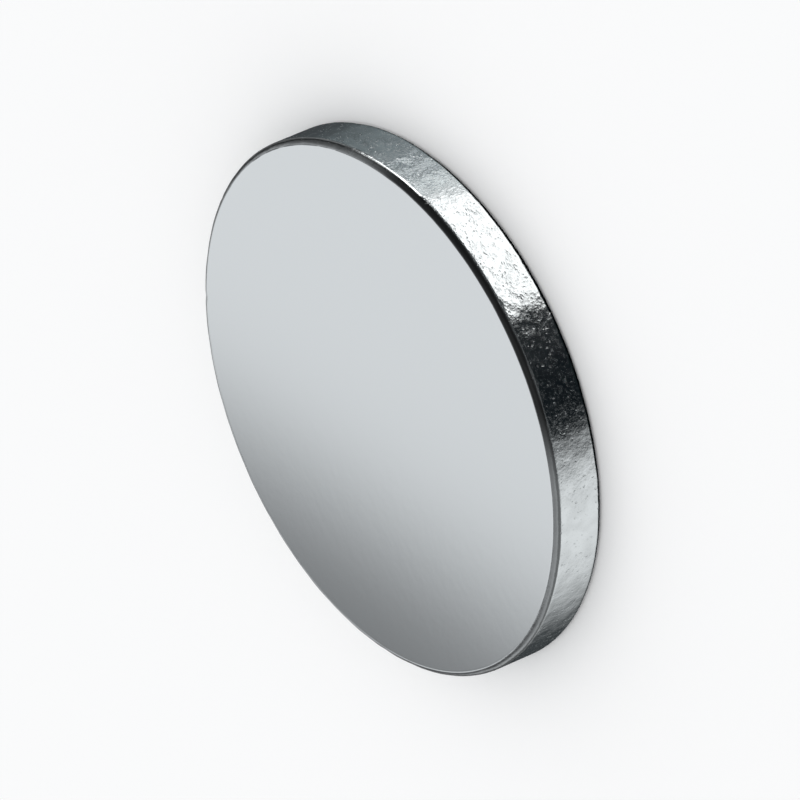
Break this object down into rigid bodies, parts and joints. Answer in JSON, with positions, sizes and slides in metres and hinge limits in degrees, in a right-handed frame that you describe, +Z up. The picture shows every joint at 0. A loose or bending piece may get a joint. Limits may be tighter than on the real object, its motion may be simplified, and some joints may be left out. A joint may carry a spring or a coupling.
{
  "type": "disc magnet",
  "caption": "Thin round disc magnet, bright nickel plated, flat pole faces on both sides and small tumbled edges. Sticks to steel or seats in a shallow round pocket.",
  "frame": {"origin": "centre of the lower pole face, on the surface that the disc lies on", "axes": "+Z up along the disc's axis through both poles; +X and +Y in the plane of the lower face, with no marked direction because the disc is round"},
  "size_m": [0.01, 0.01, 0.001],
  "materials": {
    "nickel_plating": "bright nickel plating: smooth pole faces, finely pitted rim, burnished rounded edges"
  },
  "bodies": {
    "root": {"disc_magnet": "nickel_plating"}
  },
  "joints": []
}
